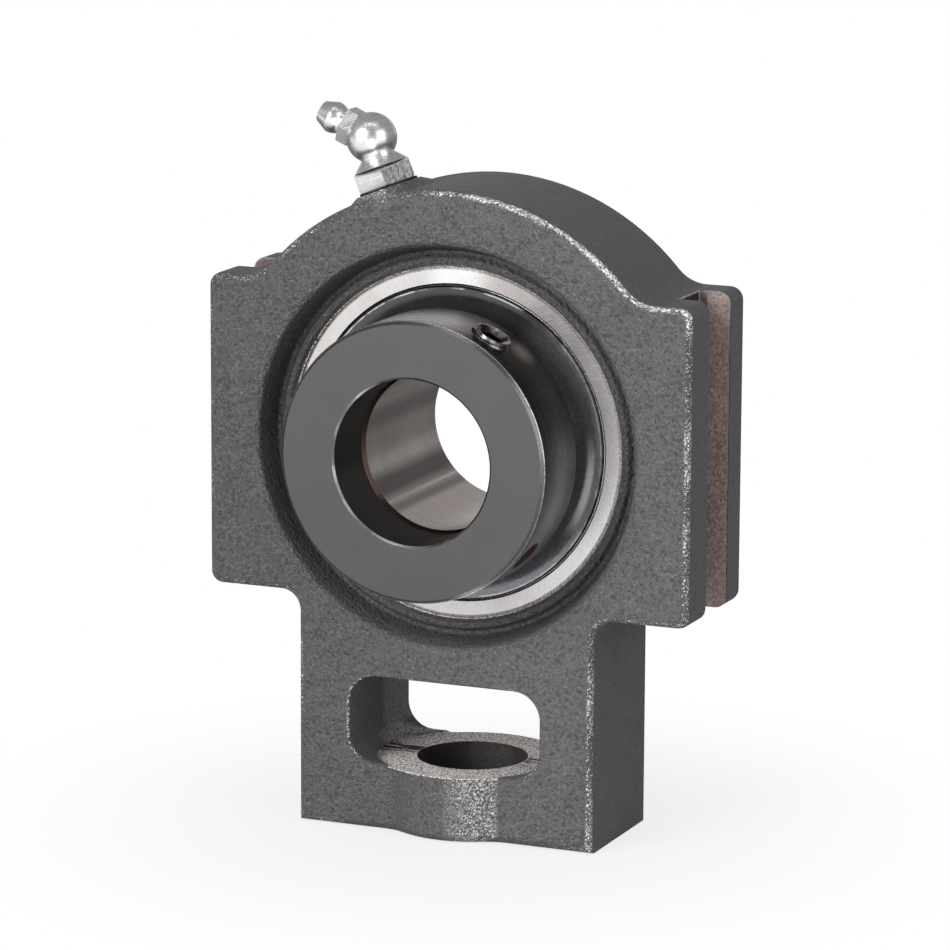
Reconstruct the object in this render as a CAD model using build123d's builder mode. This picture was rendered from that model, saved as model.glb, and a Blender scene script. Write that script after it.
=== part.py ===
from build123d import *
import math
import os

# Take up bearing unit, in millimetres. The shaft runs along Y through the origin,
# the front is towards -Y, and the foot with the screw hole is at the bottom, -Z.

os.makedirs("parts", exist_ok=True)

# Housing casting, seen from the front
arch_wall = 10.6
rail_overhang = 0.5
rail_top = 31.1
rail_bottom = -31.6
foot_side = 11.2
foot_wall = 13.7
arch_blend = 8.0
rail_top_corner = 2.6
rail_bottom_corner = 2.5
foot_blend = 4.0
cast_edge = 2.0

# Housing casting, front to back
half_thickness = 15.0
groove_width = 11.7
groove_shift = 0.65
groove_depth = 6.5

# Nut window and adjusting screw hole in the foot
window_side = 7.14
window_web = 7.4
window_height = 17.4
window_corner = 5.5
spot_depth = 0.5
spot_margin = 0.5
screw_hole_radius = 11.0
boss_bulge = 3.5
boss_blend = 8.0
window_edge = 0.8

# Recess and raised rim round the bearing, one on each side, from the seat outwards
rim_depth = 5.6
rim_inset = 0.39
crest_depth = 4.7
crest_width = 1.0
crest_slope = 0.7
valley_depth = 5.6
valley_width = 0.8
recess_slope = 1.7
recess_edge = 1.3
rim_round = 0.45

# Bearing insert: balls and rings, from the bore outwards
bore_radius = 15.875
inner_wall = 5.279
ball_radius = 5.556
ball_clearance = 0.04
ball_count = 9
race_ratio = 1.04
outer_wall = 3.654
seat_clearance = 0.09
outer_chamfer = 0.5
outer_land_gap = 3.45
outer_step_wall = 4.4
inner_land_gap = 3.85
hub_step = 2.0
inner_front = 17.5
inner_back = 17.9
bore_chamfer = 0.8
hub_edge = 0.4
loading_gap = 0.4
grease_hole_radius = 0.9
grease_hole_y = 5.5

# Seals and flingers
seal_thickness = 0.8
seal_seat_depth = 2.6
seal_room = 0.3
seal_gap = 0.05
lip_gap = 0.06
sheet = 0.8
flinger_gap = 0.75
flinger_rim = 1.65
flinger_bend = 1.0
flinger_dish = 3.6
flinger_rise = 1.1
flinger_round = 5.0
sleeve_length = 2.6

# Ribbon cage and rivets
ribbon_inwards = 2.35
ribbon_outwards = 2.25
ribbon_sheet = 0.7
cage_room = 0.224
pocket_clearance = 0.12
rivet_radius = 0.8
rivet_head_radius = 1.5
rivet_head_height = 0.6
rivet_clearance = 0.05

# Eccentric locking collar on the inner ring's cam
collar_wall = 7.7
collar_length = 17.0
collar_gap = 0.6
collar_bore_gap = 0.425
collar_chamfer = 0.7
collar_bore_chamfer = 0.4
cam_step = 1.0
cam_length = 4.1
cam_shift = 0.8
cam_clearance = 0.08
cam_end_gap = 0.4
drift_angle = 130.0
drift_radius = 3.4
drift_depth = 5.0
drift_inset = 6.9

# Socket set screw in the collar
screw_angle = 29.0
screw_inset = 8.0
screw_radius = 4.0
screw_clearance = 0.05
screw_rise = 0.9
screw_point_gap = 0.3
screw_point_chamfer = 1.0
screw_top_chamfer = 0.4
socket_across_flats = 4.0
socket_depth = 4.4
mouth_chamfer = 0.5

# Grease passage in the housing
fitting_angle = 21.1
fitting_pad_radius = 6.6
fitting_pad_rise = 0.95
fitting_pad_height = 2.6
fitting_pad_slope = 60
fitting_thread_radius = 3.1
fitting_thread_clearance = 0.05
fitting_thread_depth = 7.4
passage_radius = 1.7
seat_groove_start = 0.1
seat_groove_width = 7.0
seat_groove_depth = 0.9

# Grease fitting, measured along its own axes
fitting_gap = 0.5
fitting_hex_flats = 11.1
fitting_hex_height = 3.95
fitting_hex_turn = 24.5
fitting_hex_slope = 60
fitting_hex_crown = 5.45
fitting_neck_radius = 3.4
fitting_ball_radius = 5.04
fitting_ball_lift = 11.26
fitting_bore_radius = 1.2
elbow_angle = 45.0
ball_flat = 3.6
head_collar_flats = 6.8
head_collar_length = 2.5
head_neck_radius = 2.6
head_neck_end = 7.0
head_shoulder_radius = 3.05
head_shoulder_at = 7.9
head_crown_radius = 3.2
head_crown_at = 9.1
head_tip_radius = 2.15
head_tip_at = 11.6
head_shank_radius = 2.2
head_shank_length = 2.2
head_shank_clearance = 0.02
chamber_radius = 1.4
chamber_ledge = 4.8
ledge_radius = 0.8
inlet_radius = 0.75
inlet_length = 0.9
check_ball_radius = 1.2
check_ball_gap = 0.03
spring_wire_radius = 0.17
spring_coil_radius = 0.95
spring_turns = 6

# Insert sizes that follow, from the bore outwards
race_radius = race_ratio * ball_radius
pitch_radius = bore_radius + inner_wall + ball_clearance + ball_radius
inner_race_centre = pitch_radius - ball_radius - ball_clearance + race_radius
outer_race_centre = pitch_radius + ball_radius + ball_clearance - race_radius
inner_land_radius = pitch_radius - inner_land_gap
hub_radius = inner_land_radius - hub_step
cam_radius = hub_radius - cam_step
outer_land_radius = pitch_radius + outer_land_gap
sphere_radius = pitch_radius + ball_radius + ball_clearance + outer_wall
outer_step_radius = sphere_radius - outer_step_wall
pocket_radius = ball_radius + pocket_clearance
outer_step_half = pocket_radius + ribbon_sheet + cage_room
outer_half_width = outer_step_half + seal_seat_depth
inner_land_half = outer_step_half + seal_thickness + seal_room
flinger_radius = outer_step_radius - flinger_gap
flinger_flat = flinger_radius - flinger_rim
flinger_dish_outer = flinger_flat - flinger_bend
flinger_dish_inner = flinger_dish_outer - flinger_dish
ribbon_inner = pitch_radius - ribbon_inwards
ribbon_outer = pitch_radius + ribbon_outwards
cam_back = inner_front - cam_length
collar_radius = cam_radius + collar_wall
collar_bore_radius = bore_radius + collar_bore_gap
collar_back = cam_back + collar_gap
collar_front = collar_back + collar_length
screw_y = collar_front - screw_inset
drift_y = collar_front - drift_inset

# Housing sizes that follow, from the seat outwards
seat_radius = sphere_radius + seat_clearance
rim_half_width = half_thickness - rim_depth
rim_radius = math.sqrt(seat_radius**2 - rim_half_width**2)
crest_inner = seat_radius - rim_inset
crest_outer = crest_inner + crest_width
valley_inner = crest_outer + crest_slope
valley_outer = valley_inner + valley_width
recess_radius = valley_outer + recess_slope
arch_radius = recess_radius + arch_wall
half_width = arch_radius + rail_overhang
groove_bottom = half_width - groove_depth
groove_front = groove_shift - groove_width / 2
window_top = -(recess_radius + window_web)
window_floor = window_top - window_height
foot_end = window_floor - foot_wall
wall_top = window_floor - spot_depth
boss_radius = half_thickness + boss_bulge
boss_reach = math.sqrt((boss_radius + boss_blend) ** 2 - (half_thickness + boss_blend) ** 2)
window_half_width = boss_reach + window_side
foot_half_width = window_half_width + foot_side
spot_radius = boss_radius + spot_margin
fitting_ball_height = arch_radius + fitting_ball_lift
cut_reach = 2 * half_width
tolerance = 0.01


def radial_direction(angle):
    """Unit direction in the plane of the arch, at an angle from +Z towards +X."""
    return Vector(math.sin(math.radians(angle)), 0, math.cos(math.radians(angle)))


def radial_plane(angle, distance, y=0):
    """Plane facing outwards at a distance from the shaft axis, with its x along the shaft."""
    direction = radial_direction(angle)
    origin = direction * distance + Vector(0, y, 0)
    return Plane(origin=origin, x_dir=(0, 1, 0), z_dir=direction)


def corners_at(sketch, x, y):
    """The corners of a symmetrical sketch at plus and minus x, and at height y."""
    return sketch.vertices().filter_by(
        lambda v: abs(abs(v.X) - x) < tolerance and abs(v.Y - y) < tolerance
    )


def save(piece, name):
    """Label one finished piece and write it as a STEP file."""
    piece.part.label = name
    export_step(piece.part, f"parts/{name}.step")


# Housing: one casting, with its guide grooves, seat, window and grease passage machined
def is_cast_edge(edge):
    """Edges of the front and back outlines, and of the screw boss at the end face."""
    middle = edge.center()
    on_face = all(abs(abs(v.Y) - half_thickness) < tolerance for v in edge.vertices())
    on_face = on_face and abs(abs(middle.Y) - half_thickness) < tolerance
    beside_boss = foot_end + tolerance < middle.Z < window_floor + tolerance
    beside_boss = beside_boss and abs(middle.X) < boss_reach + tolerance
    boss_end = abs(middle.Z - foot_end) < tolerance and abs(middle.Y) > half_thickness + tolerance
    return (on_face and not beside_boss) or boss_end


def is_window_edge(edge):
    """Edges of the nut window where it breaks out at the front and the back."""
    middle = edge.center()
    outside = all(abs(v.Y) > half_thickness - tolerance for v in edge.vertices())
    outside = outside and abs(middle.Y) > half_thickness - tolerance
    within = window_floor - tolerance < middle.Z < window_top + tolerance
    return outside and within and abs(middle.X) < window_half_width + tolerance


fitting_direction = radial_direction(-fitting_angle)
spot_level = arch_radius + fitting_pad_rise
thread_end = spot_level - fitting_thread_depth
pad_slope_run = fitting_pad_height * math.tan(math.radians(fitting_pad_slope))

with BuildPart() as housing:
    with BuildSketch(Plane.XZ) as outline:
        Circle(arch_radius)
        with Locations((0, rail_bottom)):
            Rectangle(
                2 * arch_radius, arch_radius, align=(Align.CENTER, Align.MAX), mode=Mode.SUBTRACT
            )
            Rectangle(
                2 * foot_half_width, rail_bottom - foot_end, align=(Align.CENTER, Align.MAX)
            )
            Rectangle(2 * half_width, rail_top - rail_bottom, align=(Align.CENTER, Align.MIN))
        junction = math.sqrt(arch_radius**2 - rail_top**2)
        fillet(corners_at(outline, junction, rail_top), arch_blend)
        fillet(corners_at(outline, half_width, rail_top), rail_top_corner)
        fillet(corners_at(outline, half_width, rail_bottom), rail_bottom_corner)
        fillet(corners_at(outline, foot_half_width, rail_bottom), foot_blend)
    extrude(amount=half_thickness, both=True)

    # The wall under the window bulges front and back round the screw hole
    with BuildSketch(Plane.XY.offset(foot_end)) as boss:
        Rectangle(2 * window_half_width, 2 * half_thickness)
        Circle(boss_radius)
        boss_junction = math.sqrt(boss_radius**2 - half_thickness**2)
        fillet(corners_at(boss, boss_junction, half_thickness), boss_blend)
        fillet(corners_at(boss, boss_junction, -half_thickness), boss_blend)
    extrude(amount=window_floor - foot_end)
    fillet(housing.edges().filter_by(is_cast_edge), cast_edge)

    # Guide grooves down both sides
    with BuildSketch(Plane.XZ.offset(-groove_front)) as grooves:
        for side in (-1, 1):
            with Locations((side * (groove_bottom + half_width / 2), 0)):
                Rectangle(half_width, cut_reach)
    extrude(amount=-groove_width, mode=Mode.SUBTRACT)

    # Nut window, its spot-faced floor and the hole for the adjusting screw
    with BuildSketch(Plane.XZ) as window:
        with Locations((0, window_top - window_height / 2)):
            RectangleRounded(2 * window_half_width, window_height, window_corner)
    extrude(amount=cut_reach, both=True, mode=Mode.SUBTRACT)
    fillet(housing.edges().filter_by(is_window_edge), window_edge)
    with BuildSketch(Plane.XY.offset(wall_top)) as spot_face:
        Circle(spot_radius)
    extrude(amount=window_height / 2, mode=Mode.SUBTRACT)
    with BuildSketch(Plane.XY.offset(foot_end)) as screw_hole:
        Circle(screw_hole_radius)
    extrude(amount=wall_top - foot_end, mode=Mode.SUBTRACT)

    # Recess, valley and raised rim on both sides, then the spherical seat
    with BuildSketch(Plane.XY) as recess:
        with BuildLine():
            Polyline(
                (0, cut_reach),
                (recess_radius, cut_reach),
                (recess_radius, half_thickness),
                (valley_outer, half_thickness - valley_depth),
                (valley_inner, half_thickness - valley_depth),
                (crest_outer, half_thickness - crest_depth),
                (crest_inner, half_thickness - crest_depth),
                (rim_radius, rim_half_width),
                (0, rim_half_width),
                close=True,
            )
        make_face()
        for x, depth in (
            (valley_outer, valley_depth),
            (valley_inner, valley_depth),
            (crest_outer, crest_depth),
            (crest_inner, crest_depth),
        ):
            fillet(corners_at(recess, x, half_thickness - depth), rim_round)
        mirror(about=Plane.XZ)
    revolve(axis=Axis.Y, mode=Mode.SUBTRACT)
    Sphere(seat_radius, mode=Mode.SUBTRACT)
    mouths = housing.edges().filter_by(GeomType.CIRCLE).filter_by(
        lambda e: abs(e.radius - recess_radius) < tolerance
    )
    fillet(mouths, recess_edge)

    # Loading slots at the back, where the insert goes in edgewise and is then turned
    with BuildSketch(Plane.XZ) as loading_slots:
        Circle(seat_radius)
        Rectangle(
            2 * seat_radius, 2 * (outer_half_width + loading_gap), mode=Mode.INTERSECT
        )
    extrude(amount=-cut_reach, mode=Mode.SUBTRACT)

    # Grease groove in the seat, and the drilled and tapped passage that feeds it
    with BuildSketch(Plane.XY) as seat_groove:
        with Locations((0, seat_groove_start)):
            Rectangle(
                seat_radius + seat_groove_depth, seat_groove_width, align=(Align.MIN, Align.MIN)
            )
    revolve(axis=Axis.Y, mode=Mode.SUBTRACT)
    with BuildSketch(radial_plane(-fitting_angle, spot_level - fitting_pad_height)) as fitting_pad:
        Circle(fitting_pad_radius + pad_slope_run)
    extrude(amount=fitting_pad_height, taper=fitting_pad_slope)
    with BuildSketch(radial_plane(-fitting_angle, thread_end)) as tapped_hole:
        Circle(fitting_thread_radius + fitting_thread_clearance)
    extrude(amount=fitting_thread_depth, mode=Mode.SUBTRACT)
    with BuildSketch(radial_plane(-fitting_angle, sphere_radius)) as passage:
        Circle(passage_radius)
    extrude(amount=thread_end - sphere_radius, mode=Mode.SUBTRACT)

save(housing, "housing")


# Outer ring: spherical outside, deep groove raceway, stepped for the seals
with BuildPart() as outer_ring:
    with BuildSketch(Plane.XY) as outer_section:
        Circle(sphere_radius)
        Rectangle(
            sphere_radius, 2 * outer_half_width, align=(Align.MIN, Align.CENTER), mode=Mode.INTERSECT
        )
        Rectangle(outer_land_radius, 2 * outer_half_width, align=(Align.MIN, Align.CENTER),
                  mode=Mode.SUBTRACT)
        for side in (-1, 1):
            with Locations((0, side * (outer_step_half + outer_half_width) / 2)):
                Rectangle(outer_step_radius, outer_half_width - outer_step_half,
                          align=(Align.MIN, Align.CENTER), mode=Mode.SUBTRACT)
        with Locations((outer_race_centre, 0)):
            Circle(race_radius, mode=Mode.SUBTRACT)
        face_corner = math.sqrt(sphere_radius**2 - outer_half_width**2)
        chamfer(corners_at(outer_section, face_corner, outer_half_width), outer_chamfer)
        chamfer(corners_at(outer_section, face_corner, -outer_half_width), outer_chamfer)
    revolve(axis=Axis.Y)
    with BuildSketch(Plane.XY) as relube_holes:
        with Locations((0, grease_hole_y)):
            Circle(grease_hole_radius)
    extrude(amount=cut_reach, both=True, mode=Mode.SUBTRACT)

save(outer_ring, "outer_ring")


# Inner ring: ground bore, raceway, hubs for the flingers and the eccentric cam in front
with BuildPart() as inner_ring:
    with BuildSketch(Plane.XY) as inner_section:
        with BuildLine():
            Polyline(
                (bore_radius, -cam_back),
                (hub_radius, -cam_back),
                (hub_radius, -inner_land_half),
                (inner_land_radius, -inner_land_half),
                (inner_land_radius, inner_land_half),
                (hub_radius, inner_land_half),
                (hub_radius, inner_back - hub_edge),
                (hub_radius - hub_edge, inner_back),
                (bore_radius, inner_back),
                close=True,
            )
        make_face()
        with Locations((inner_race_centre, 0)):
            Circle(race_radius, mode=Mode.SUBTRACT)
    revolve(axis=Axis.Y)
    with BuildSketch(Plane.XZ.offset(cam_back)) as cam:
        with Locations((cam_shift, 0)):
            Circle(cam_radius)
    extrude(amount=inner_front - cam_back)
    with BuildSketch(Plane.XY) as bore_section:
        with BuildLine():
            Polyline(
                (0, -inner_front),
                (bore_radius + bore_chamfer, -inner_front),
                (bore_radius, -inner_front + bore_chamfer),
                (bore_radius, inner_back - bore_chamfer),
                (bore_radius + bore_chamfer, inner_back),
                (0, inner_back),
                close=True,
            )
        make_face()
    revolve(axis=Axis.Y, mode=Mode.SUBTRACT)

save(inner_ring, "inner_ring")


# Seals in the outer ring and flingers on the inner ring, the same on both sides
def make_seal(side):
    """Lip seal, seated on the outer ring's step and reaching the inner ring."""
    with BuildPart() as seal:
        with BuildSketch(Plane.XY):
            with Locations((inner_land_radius + lip_gap, side * outer_step_half)):
                Rectangle(
                    outer_step_radius - seal_gap - inner_land_radius - lip_gap,
                    seal_thickness,
                    align=(Align.MIN, Align.MIN if side > 0 else Align.MAX),
                )
        revolve(axis=Axis.Y)
    return seal


def make_flinger(side):
    """Pressed flinger: sleeve on the hub, a dish, and a flat outer flange."""
    back = inner_land_half
    with BuildPart() as flinger:
        with BuildSketch(Plane.XY) as pressing:
            with BuildLine():
                Polyline(
                    (hub_radius, back),
                    (flinger_dish_inner, back),
                    (flinger_dish_outer, back + flinger_rise),
                    (flinger_radius, back + flinger_rise),
                    (flinger_radius, back + flinger_rise + sheet),
                    (flinger_flat, back + flinger_rise + sheet),
                    (flinger_dish_inner, back + sheet),
                    (hub_radius + sheet, back + sheet),
                    (hub_radius + sheet, back + sleeve_length),
                    (hub_radius, back + sleeve_length),
                    close=True,
                )
            make_face()
            for x, height in (
                (flinger_dish_inner, back),
                (flinger_dish_inner, back + sheet),
                (flinger_dish_outer, back + flinger_rise),
                (flinger_flat, back + flinger_rise + sheet),
            ):
                fillet(corners_at(pressing, x, height), flinger_round)
            if side < 0:
                mirror(about=Plane.XZ, mode=Mode.REPLACE)
        revolve(axis=Axis.Y)
    return flinger


save(make_seal(-1), "front_seal")
save(make_seal(1), "rear_seal")
save(make_flinger(-1), "front_flinger")
save(make_flinger(1), "rear_flinger")


# Ribbon cage: two pressed halves that meet on the ball plane and are riveted together
def ball_plane(index, shift=0.0):
    """Plane at a ball, or between two balls for a shift of a half, facing along the shaft."""
    turn = radial_direction(360 * (index + shift) / ball_count)
    return Plane(origin=turn * pitch_radius, x_dir=turn, z_dir=(0, 1, 0))


ball_places = [ball_plane(index) for index in range(ball_count)]
rivet_places = [ball_plane(index, 0.5) for index in range(ball_count)]


def make_ribbon(side):
    """One half of the cage, on the side of the ball plane that is given."""
    reach = side * (pocket_radius + ribbon_sheet)
    with BuildPart() as ribbon:
        with BuildSketch(Plane.XZ):
            Circle(ribbon_outer)
            Circle(ribbon_inner, mode=Mode.SUBTRACT)
        extrude(amount=-side * ribbon_sheet)
        with Locations(*ball_places):
            Sphere(pocket_radius + ribbon_sheet)
            Sphere(pocket_radius, mode=Mode.SUBTRACT)
        with BuildSketch(Plane.XZ):
            Circle(ribbon_outer)
            Circle(ribbon_inner, mode=Mode.SUBTRACT)
        extrude(amount=-reach, mode=Mode.INTERSECT)
        with Locations(*rivet_places):
            Cylinder(rivet_radius + rivet_clearance, 2 * pocket_radius, mode=Mode.SUBTRACT)
    return ribbon


save(make_ribbon(-1), "cage_front")
save(make_ribbon(1), "cage_rear")

with BuildPart() as cage_rivets:
    with Locations(*rivet_places):
        Cylinder(rivet_radius, 2 * ribbon_sheet)
    for side in (-1, 1):
        head_centre = side * (ribbon_sheet + rivet_head_height / 2)
        for place in rivet_places:
            with Locations(place.offset(head_centre)):
                Cylinder(rivet_head_radius, rivet_head_height)

save(cage_rivets, "cage_rivets")


# Balls
for index, place in enumerate(ball_places):
    with BuildPart() as ball:
        with Locations(place.origin):
            Sphere(ball_radius)
    save(ball, f"ball_{index + 1}")


# Locking collar: eccentric counterbore over the cam, tapped hole and blind drift-pin hole
with BuildPart() as locking_collar:
    with BuildSketch(Plane.XY) as collar_section:
        with BuildLine():
            Polyline(
                (collar_bore_radius + collar_bore_chamfer, -collar_front),
                (collar_radius - collar_chamfer, -collar_front),
                (collar_radius, -collar_front + collar_chamfer),
                (collar_radius, -collar_back - collar_chamfer),
                (collar_radius - collar_chamfer, -collar_back),
                (collar_bore_radius, -collar_back),
                (collar_bore_radius, -collar_front + collar_bore_chamfer),
                close=True,
            )
        make_face()
    revolve(axis=Axis.Y)
    with BuildSketch(Plane.XZ.offset(collar_back)) as counterbore:
        with Locations((cam_shift, 0)):
            Circle(cam_radius + cam_clearance)
    extrude(amount=inner_front + cam_end_gap - collar_back, mode=Mode.SUBTRACT)
    with BuildSketch(radial_plane(screw_angle, 0, -screw_y)) as tapped:
        Circle(screw_radius + screw_clearance)
    extrude(amount=collar_radius + collar_chamfer, mode=Mode.SUBTRACT)
    with BuildSketch(radial_plane(screw_angle, collar_radius, -screw_y)) as mouth:
        Circle(screw_radius + mouth_chamfer)
    extrude(amount=-mouth_chamfer, taper=45, mode=Mode.SUBTRACT)
    with BuildSketch(radial_plane(drift_angle, collar_radius - drift_depth, -drift_y)) as drift_hole:
        Circle(drift_radius)
    extrude(amount=drift_depth + collar_chamfer, mode=Mode.SUBTRACT)

save(locking_collar, "locking_collar")


# Set screw: cup point end towards the shaft, hexagon socket outwards
screw_tip = collar_bore_radius + screw_point_gap
screw_top = collar_radius + screw_rise

with BuildPart() as collar_set_screw:
    with BuildSketch(radial_plane(screw_angle, screw_tip, -screw_y)) as shank:
        Circle(screw_radius)
    extrude(amount=screw_top - screw_tip)
    outwards = Axis((0, 0, 0), radial_direction(screw_angle))
    chamfer(collar_set_screw.edges().filter_by(GeomType.CIRCLE).sort_by(outwards)[0],
            screw_point_chamfer)
    chamfer(collar_set_screw.edges().filter_by(GeomType.CIRCLE).sort_by(outwards)[-1],
            screw_top_chamfer)
    with BuildSketch(radial_plane(screw_angle, screw_top - socket_depth, -screw_y)) as socket:
        RegularPolygon(socket_across_flats / 2, 6, major_radius=False)
    extrude(amount=socket_depth, mode=Mode.SUBTRACT)

save(collar_set_screw, "collar_set_screw")


# Grease fitting body: threaded shank, hexagon, neck and ball, with its two bores
def fitting_plane(height, turn=0.0):
    """Plane across the fitting's own axis, at a height measured from the shaft axis."""
    origin = fitting_direction * height
    return Plane(origin=origin, x_dir=(0, -1, 0), z_dir=fitting_direction).rotated((0, 0, turn))


hex_bottom = spot_level + fitting_gap
hex_top = hex_bottom + fitting_hex_height
hex_slope_run = fitting_hex_height * math.tan(math.radians(fitting_hex_slope))
ball_centre = fitting_direction * fitting_ball_height
head_direction = radial_direction(-fitting_angle - elbow_angle)


def head_plane(distance):
    """Plane across the head's axis, at a distance from the centre of the ball."""
    return Plane(origin=ball_centre + head_direction * distance, x_dir=(0, 1, 0),
                 z_dir=head_direction)


with BuildPart() as nipple_body:
    with BuildSketch(fitting_plane(hex_bottom, fitting_hex_turn)) as hexagon:
        RegularPolygon(fitting_hex_flats / 2, 6, major_radius=False)
    extrude(amount=fitting_hex_height)
    with BuildSketch(fitting_plane(hex_bottom)) as crown:
        Circle(fitting_hex_flats / 2 + hex_slope_run)
    extrude(amount=fitting_hex_height, taper=fitting_hex_slope, mode=Mode.INTERSECT)
    with BuildSketch(fitting_plane(hex_top)) as flare:
        Circle(fitting_hex_crown)
    extrude(amount=fitting_hex_crown - fitting_neck_radius, taper=45)
    with BuildSketch(fitting_plane(hex_top)) as neck:
        Circle(fitting_neck_radius)
    extrude(amount=fitting_ball_height - hex_top)
    with Locations(ball_centre):
        Sphere(fitting_ball_radius)
    with BuildSketch(fitting_plane(thread_end)) as thread:
        Circle(fitting_thread_radius)
    extrude(amount=hex_bottom - thread_end)
    with BuildSketch(fitting_plane(thread_end)) as riser:
        Circle(fitting_bore_radius)
    extrude(amount=fitting_ball_height - thread_end, mode=Mode.SUBTRACT)
    with BuildSketch(head_plane(ball_flat)) as flat:
        Circle(fitting_ball_radius)
    extrude(amount=fitting_ball_radius, mode=Mode.SUBTRACT)
    with BuildSketch(head_plane(ball_flat)) as shank_hole:
        Circle(head_shank_radius + head_shank_clearance)
    extrude(amount=-head_shank_length, mode=Mode.SUBTRACT)
    with BuildSketch(head_plane(0)) as elbow:
        Circle(fitting_bore_radius)
    extrude(amount=ball_flat, mode=Mode.SUBTRACT)

save(nipple_body, "nipple_body")


# Grease fitting head: pressed shank, small hexagon collar, neck and coupling tip
inlet_start = head_tip_at - inlet_length
cone_start = inlet_start - (chamber_radius - inlet_radius)
across = Vector(0, 1, 0)
axial_section = Plane(origin=ball_centre, x_dir=across, z_dir=across.cross(head_direction))

with BuildPart() as nipple_head:
    with BuildSketch(head_plane(ball_flat)) as head_collar:
        RegularPolygon(head_collar_flats / 2, 6, major_radius=False)
    extrude(amount=head_collar_length)
    with BuildSketch(head_plane(ball_flat)) as shank:
        Circle(head_shank_radius)
    extrude(amount=-head_shank_length)
    with BuildSketch(axial_section) as tip_section:
        with BuildLine():
            Polyline(
                (0, ball_flat),
                (head_neck_radius, ball_flat),
                (head_neck_radius, head_neck_end),
            )
            ThreePointArc(
                (head_neck_radius, head_neck_end),
                (head_shoulder_radius, head_shoulder_at),
                (head_crown_radius, head_crown_at),
            )
            Polyline(
                (head_crown_radius, head_crown_at),
                (head_tip_radius, head_tip_at),
                (0, head_tip_at),
                (0, ball_flat),
            )
        make_face()
    revolve(axis=Axis(ball_centre, head_direction))
    with BuildSketch(axial_section) as chamber_section:
        with BuildLine():
            Polyline(
                (0, (ball_flat - head_shank_length)),
                (ledge_radius, (ball_flat - head_shank_length)),
                (ledge_radius, chamber_ledge),
                (chamber_radius, chamber_ledge),
                (chamber_radius, cone_start),
                (inlet_radius, inlet_start),
                (inlet_radius, head_tip_at),
                (0, head_tip_at),
                close=True,
            )
        make_face()
    revolve(axis=Axis(ball_centre, head_direction), mode=Mode.SUBTRACT)

save(nipple_head, "nipple_head")


# Check ball in the head, resting on the cone of the inlet, and the spring behind it
check_ball_at = cone_start + chamber_radius - math.sqrt(2) * (check_ball_radius + check_ball_gap)

with BuildPart() as nipple_check_ball:
    with Locations(ball_centre + head_direction * check_ball_at):
        Sphere(check_ball_radius)

save(nipple_check_ball, "nipple_check_ball")

ball_contact = math.sqrt((check_ball_radius + spring_wire_radius) ** 2 - spring_coil_radius**2)
spring_start = chamber_ledge + spring_wire_radius + check_ball_gap
spring_end = check_ball_at - ball_contact - check_ball_gap

with BuildPart() as nipple_spring:
    with BuildLine() as coil:
        Helix(
            pitch=(spring_end - spring_start) / spring_turns,
            height=spring_end - spring_start,
            radius=spring_coil_radius,
            center=ball_centre + head_direction * spring_start,
            direction=head_direction,
        )
    with BuildSketch(Plane(origin=coil.line @ 0, z_dir=coil.line % 0)) as wire:
        Circle(spring_wire_radius)
    sweep(is_frenet=True)

save(nipple_spring, "nipple_spring")
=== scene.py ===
import bpy
import math
import numpy as np
from mathutils import Matrix, Vector


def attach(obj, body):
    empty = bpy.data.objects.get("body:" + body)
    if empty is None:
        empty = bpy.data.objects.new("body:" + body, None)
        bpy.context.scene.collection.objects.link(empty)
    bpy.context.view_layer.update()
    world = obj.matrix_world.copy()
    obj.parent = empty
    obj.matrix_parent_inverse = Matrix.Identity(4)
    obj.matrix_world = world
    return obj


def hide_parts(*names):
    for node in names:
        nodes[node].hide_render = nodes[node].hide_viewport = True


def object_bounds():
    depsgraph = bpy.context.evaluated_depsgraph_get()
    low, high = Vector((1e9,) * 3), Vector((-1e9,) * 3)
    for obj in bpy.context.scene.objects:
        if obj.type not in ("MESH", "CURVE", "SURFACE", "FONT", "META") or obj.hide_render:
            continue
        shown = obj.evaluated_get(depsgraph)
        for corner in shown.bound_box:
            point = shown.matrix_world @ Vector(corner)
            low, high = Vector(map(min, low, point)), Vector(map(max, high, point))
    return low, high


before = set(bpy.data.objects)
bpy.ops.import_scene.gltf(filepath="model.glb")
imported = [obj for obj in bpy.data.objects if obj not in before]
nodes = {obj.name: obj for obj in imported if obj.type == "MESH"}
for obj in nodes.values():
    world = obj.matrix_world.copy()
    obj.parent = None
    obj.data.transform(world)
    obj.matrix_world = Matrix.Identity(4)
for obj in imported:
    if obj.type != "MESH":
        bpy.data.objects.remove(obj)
cad_box = [list(corner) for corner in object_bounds()]


# Camera, where the photograph was taken from: a long lens at about a metre, to the right
# of the shaft and a little above it. The view is fitted to the housing's own corners.
camera_azimuth = math.radians(23.093)
camera_elevation = math.radians(11.705)
camera_roll = math.radians(0.291)
camera_focal = 5118.656
camera_image = 950
camera_offset = (0.000152, -0.007933, 1.008013)

back = Vector((
    math.sin(camera_azimuth) * math.cos(camera_elevation),
    -math.cos(camera_azimuth) * math.cos(camera_elevation),
    math.sin(camera_elevation),
))
level = Vector((math.cos(camera_azimuth), math.sin(camera_azimuth), 0))
upright = back.cross(level)
right = level * math.cos(camera_roll) + upright * math.sin(camera_roll)
up = upright * math.cos(camera_roll) - level * math.sin(camera_roll)
turn = Matrix((right, up, back)).transposed()

camera = bpy.data.objects.new("camera", bpy.data.cameras.new("camera"))
camera.data.sensor_width = 36
camera.data.lens = camera_focal * camera.data.sensor_width / camera_image
camera.data.clip_start = 0.05
camera.data.clip_end = 20
camera.matrix_world = Matrix.Translation(turn @ Vector(camera_offset)) @ turn.to_4x4()
bpy.context.scene.collection.objects.link(camera)
bpy.context.scene.camera = camera
bpy.context.scene.view_settings.view_transform = "Standard"


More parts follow.
